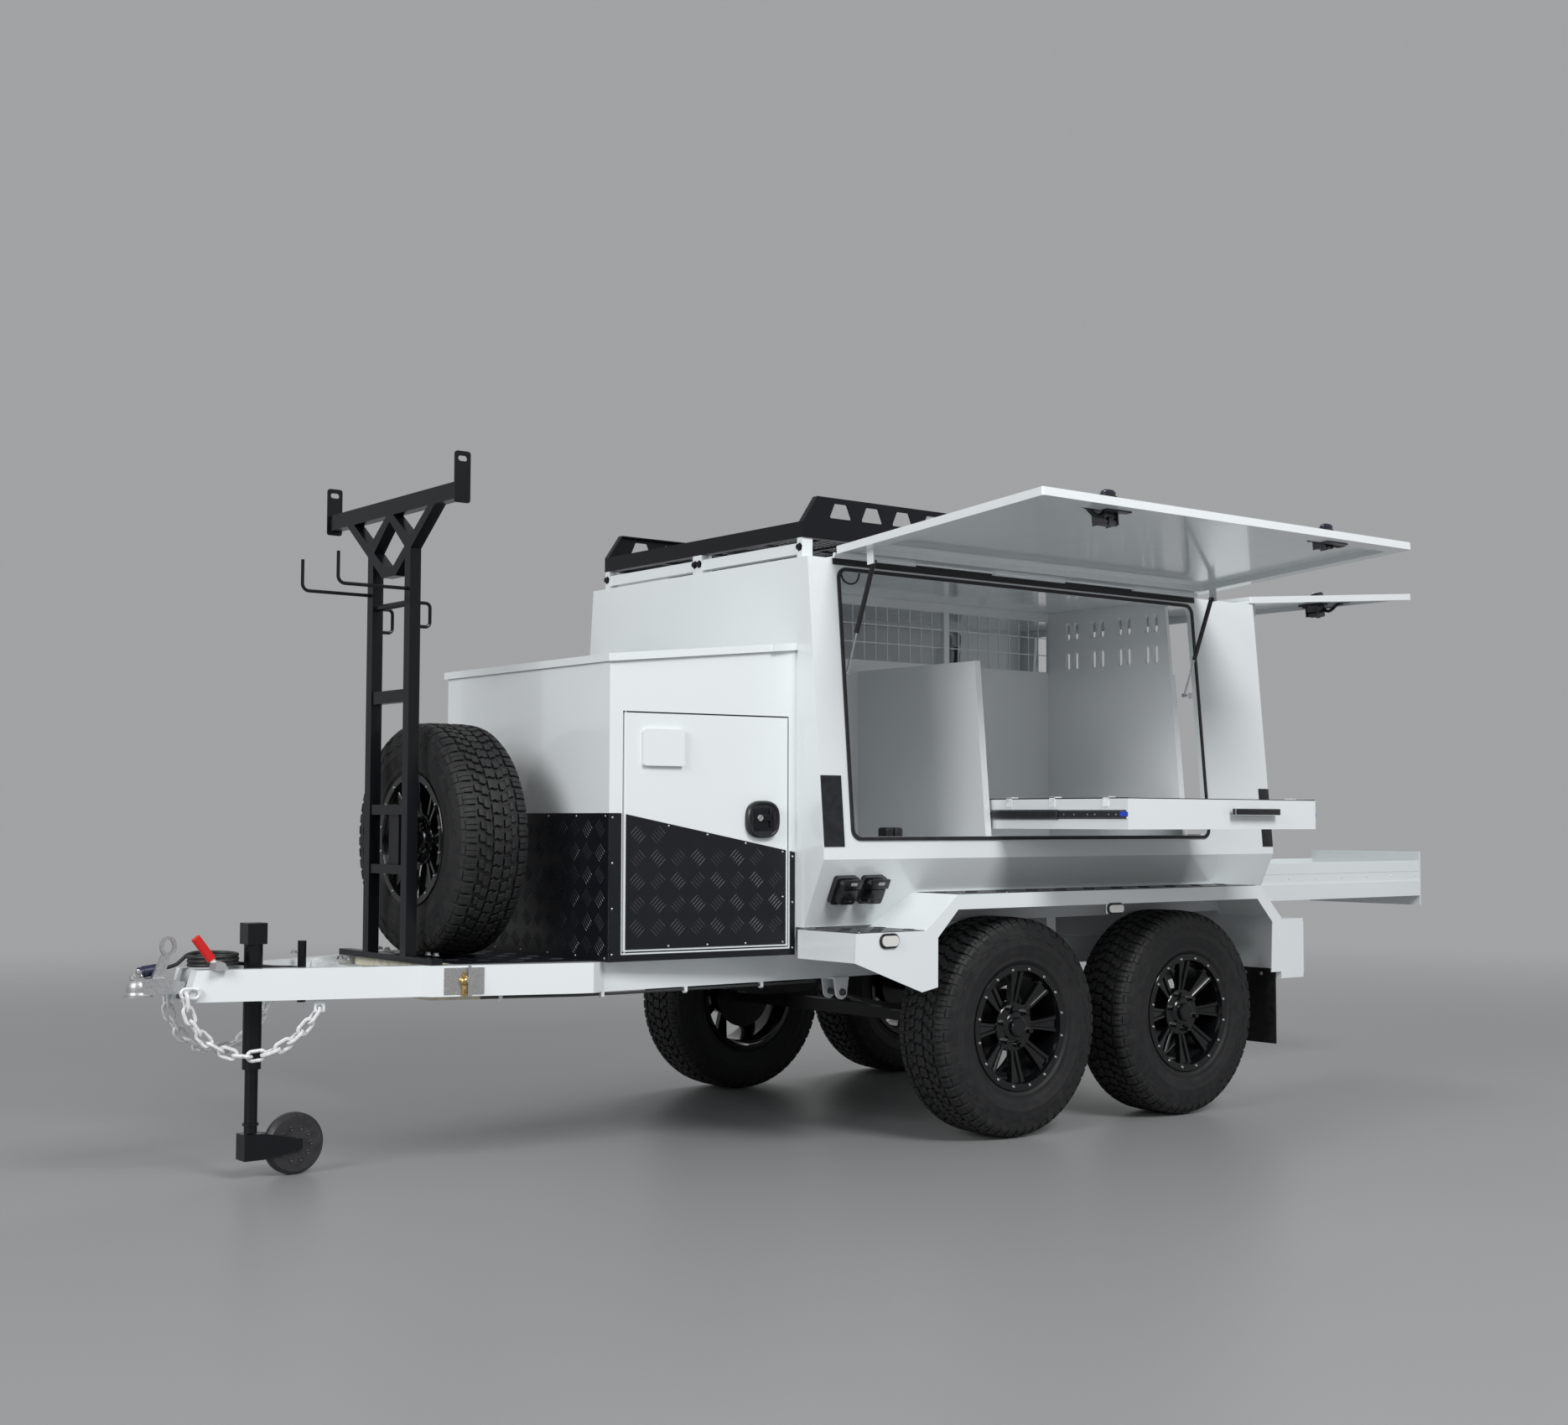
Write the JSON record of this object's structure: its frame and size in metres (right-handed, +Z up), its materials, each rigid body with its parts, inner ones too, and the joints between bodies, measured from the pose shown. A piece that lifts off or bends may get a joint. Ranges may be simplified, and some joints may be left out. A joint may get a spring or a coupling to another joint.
{
  "type": "tandem axle tradesman trailer",
  "caption": "Tandem-axle tradesman trailer: canopy with lifting doors, front box, drawers, roof rack, ladder rack and spare wheel on an A-frame drawbar.",
  "frame": {"origin": "centre of the coupling's ball socket, 615 mm above the ground", "axes": "+X rearwards, +Y to the right-hand (off) side, +Z up"},
  "size_m": [5.934, 2.7301, 2.342],
  "materials": {
    "white_paint": "gloss powder coat",
    "black_paint": "satin black powder coat",
    "black_tread_plate": "gloss black tread plate",
    "zinc": "zinc plated steel",
    "galvanised": "galvanised steel",
    "chain_white": "white coated chain",
    "spring_steel": "black painted spring steel",
    "wheel_black": "gloss black alloy wheel",
    "tyre": "tyre rubber",
    "rubber": "black rubber",
    "black_plastic": "moulded black plastic",
    "tank_plastic": "natural polythene tank",
    "brass": "brass ball valve on a stainless plate",
    "red_grip": "red vinyl grip",
    "lamp": "clear lamp lens",
    "blue_black_plug": "dark blue plug body"
  },
  "bodies": {
    "trailer": {"chassis_frame": "white_paint", "coupling": "galvanised", "handbrake_lever": "red_grip", "safety_chains": "chain_white", "ladder_rack": "black_paint", "spare_tyre": "tyre", "spare_rim": "wheel_black", "drawbar_deck": "black_tread_plate", "front_box": "white_paint", "box_lid": "white_paint", "checker_cladding": "black_tread_plate", "canopy_body": "white_paint", "door_seals": "rubber", "partition": "white_paint", "mesh_panels": "white_paint", "drawer_runners": "zinc", "roof_rack": "black_paint", "rack_supports": "white_paint", "mudguards": "white_paint", "lamps": "lamp", "mudflaps": "rubber", "axles": "spring_steel", "leaf_springs": "spring_steel", "spring_hangers": "white_paint", "jockey_tube": "black_paint", "side_fittings": "black_plastic", "water_tank": "tank_plastic", "tank_tap": "brass", "cable_coil": "rubber", "cable_lead": "rubber", "cable_tail": "rubber", "cable_plug": "blue_black_plug"},
    "front_left_wheel": {"front_left_tyre": "tyre", "front_left_rim": "wheel_black"},
    "front_right_wheel": {"front_right_tyre": "tyre", "front_right_rim": "wheel_black"},
    "rear_left_wheel": {"rear_left_tyre": "tyre", "rear_left_rim": "wheel_black"},
    "rear_right_wheel": {"rear_right_tyre": "tyre", "rear_right_rim": "wheel_black"},
    "jockey_leg": {"jockey_leg": "black_paint"},
    "jockey_fork": {"jockey_fork": "black_paint"},
    "jockey_wheel": {"jockey_wheel": "black_plastic"},
    "left_door": {"left_door": "white_paint", "left_door_locks": "black_plastic"},
    "right_door": {"right_door": "white_paint", "right_door_locks": "black_plastic"},
    "rear_door": {"rear_door": "white_paint", "rear_door_locks": "black_plastic"},
    "left_box_door": {"left_box_door": "white_paint"},
    "right_box_door": {"right_box_door": "white_paint"},
    "side_drawer": {"side_drawer": "white_paint"},
    "slide_members": {"side_drawer_slides": "zinc"},
    "rear_drawer": {"rear_drawer": "white_paint"},
    "left_strut_tubes": {"left_strut_tubes": "black_paint"},
    "left_strut_rods": {"left_strut_rods": "zinc"},
    "right_strut_tubes": {"right_strut_tubes": "black_paint"},
    "right_strut_rods": {"right_strut_rods": "zinc"},
    "rear_strut_tubes": {"rear_strut_tubes": "black_paint"},
    "rear_strut_rods": {"rear_strut_rods": "zinc"}
  },
  "joints": [
    {"name": "front_left_wheel_spin", "type": "hinge", "parent": "trailer", "child": "front_left_wheel", "pos_m": [2.913, -0.82, -0.215], "axis": [0, 1, 0], "continuous": true},
    {"name": "front_right_wheel_spin", "type": "hinge", "parent": "trailer", "child": "front_right_wheel", "pos_m": [2.913, 0.82, -0.215], "axis": [0, 1, 0], "continuous": true},
    {"name": "rear_left_wheel_spin", "type": "hinge", "parent": "trailer", "child": "rear_left_wheel", "pos_m": [3.843, -0.82, -0.215], "axis": [0, 1, 0], "continuous": true},
    {"name": "rear_right_wheel_spin", "type": "hinge", "parent": "trailer", "child": "rear_right_wheel", "pos_m": [3.843, 0.82, -0.215], "axis": [0, 1, 0], "continuous": true},
    {"name": "jockey_lift", "type": "slide", "parent": "trailer", "child": "jockey_leg", "axis": [0, 0, 1], "range_m": [0, 0.13]},
    {"name": "jockey_swivel", "type": "hinge", "parent": "jockey_leg", "child": "jockey_fork", "pos_m": [0.373, 0, -0.47], "axis": [0, 0, 1], "continuous": true},
    {"name": "jockey_wheel_spin", "type": "hinge", "parent": "jockey_fork", "child": "jockey_wheel", "pos_m": [0.52, 0, -0.515], "axis": [0, 1, 0], "continuous": true},
    {"name": "left_door_hinge", "type": "hinge", "parent": "trailer", "child": "left_door", "pos_m": [3.203, -0.71, 1.484], "axis": [1, 0, 0], "range_deg": [0, 89.5]},
    {"name": "right_door_hinge", "type": "hinge", "parent": "trailer", "child": "right_door", "pos_m": [3.203, 0.71, 1.484], "axis": [1, 0, 0], "range_deg": [0, 89.5]},
    {"name": "rear_door_hinge", "type": "hinge", "parent": "trailer", "child": "rear_door", "pos_m": [4.592, 0, 1.484], "axis": [0, 1, 0], "range_deg": [0, 94.5]},
    {"name": "left_strut_swing", "type": "hinge", "parent": "left_door", "child": "left_strut_tubes", "pos_m": [3.203, -0.845, 1.45], "axis": [-1, 0, 0], "range_deg": [0, 114.3]},
    {"name": "left_strut_stroke", "type": "slide", "parent": "left_strut_tubes", "child": "left_strut_rods", "axis": [0, -0.3527, 0.9357], "range_m": [0, 0.12753]},
    {"name": "right_strut_swing", "type": "hinge", "parent": "right_door", "child": "right_strut_tubes", "pos_m": [3.203, 0.67722, 1.3487], "axis": [-1, 0, 0], "range_deg": [0, 114.29]},
    {"name": "right_strut_stroke", "type": "slide", "parent": "right_strut_tubes", "child": "right_strut_rods", "axis": [0, 0.0718, -0.9974], "range_m": [0, 0.12758]},
    {"name": "rear_strut_swing", "type": "hinge", "parent": "rear_door", "child": "rear_strut_tubes", "pos_m": [4.727, 0, 1.45], "axis": [0, -1, 0], "range_deg": [0, 120]},
    {"name": "rear_strut_stroke", "type": "slide", "parent": "rear_strut_tubes", "child": "rear_strut_rods", "axis": [0.3976, 0, 0.9176], "range_m": [0, 0.13297]},
    {"name": "side_drawer_slide", "type": "slide", "parent": "trailer", "child": "side_drawer", "axis": [0, 1, 0], "range_m": [0, 0.655]},
    {"name": "side_slide_travel", "type": "slide", "parent": "trailer", "child": "slide_members", "axis": [0, 1, 0], "range_m": [0, 0.3275]},
    {"name": "rear_drawer_slide", "type": "slide", "parent": "trailer", "child": "rear_drawer", "axis": [-1, 0, 0], "range_m": [0, 1.3]},
    {"name": "left_box_door_hinge", "type": "hinge", "parent": "trailer", "child": "left_box_door", "pos_m": [1.43358, -0.55545, 0.498], "axis": [0, 0, -1], "range_deg": [0, 100]},
    {"name": "right_box_door_hinge", "type": "hinge", "parent": "trailer", "child": "right_box_door", "pos_m": [1.43358, 0.55545, 0.498], "axis": [0, 0, 1], "range_deg": [0, 100]}
  ],
  "couplings": [
    {"joint": "left_strut_swing", "follows": "left_door_hinge", "ratio": 1.2768},
    {"joint": "left_strut_stroke", "follows": "left_door_hinge", "m_per_rad": 0.081511},
    {"joint": "right_strut_swing", "follows": "right_door_hinge", "ratio": 1.2768},
    {"joint": "right_strut_stroke", "follows": "right_door_hinge", "m_per_rad": 0.081543},
    {"joint": "rear_strut_swing", "follows": "rear_door_hinge", "ratio": 1.2697},
    {"joint": "rear_strut_stroke", "follows": "rear_door_hinge", "m_per_rad": 0.080499},
    {"joint": "side_drawer_slide", "follows": "left_door_hinge", "m_per_rad": 0.4192},
    {"joint": "side_slide_travel", "follows": "left_door_hinge", "m_per_rad": 0.2096}
  ]
}
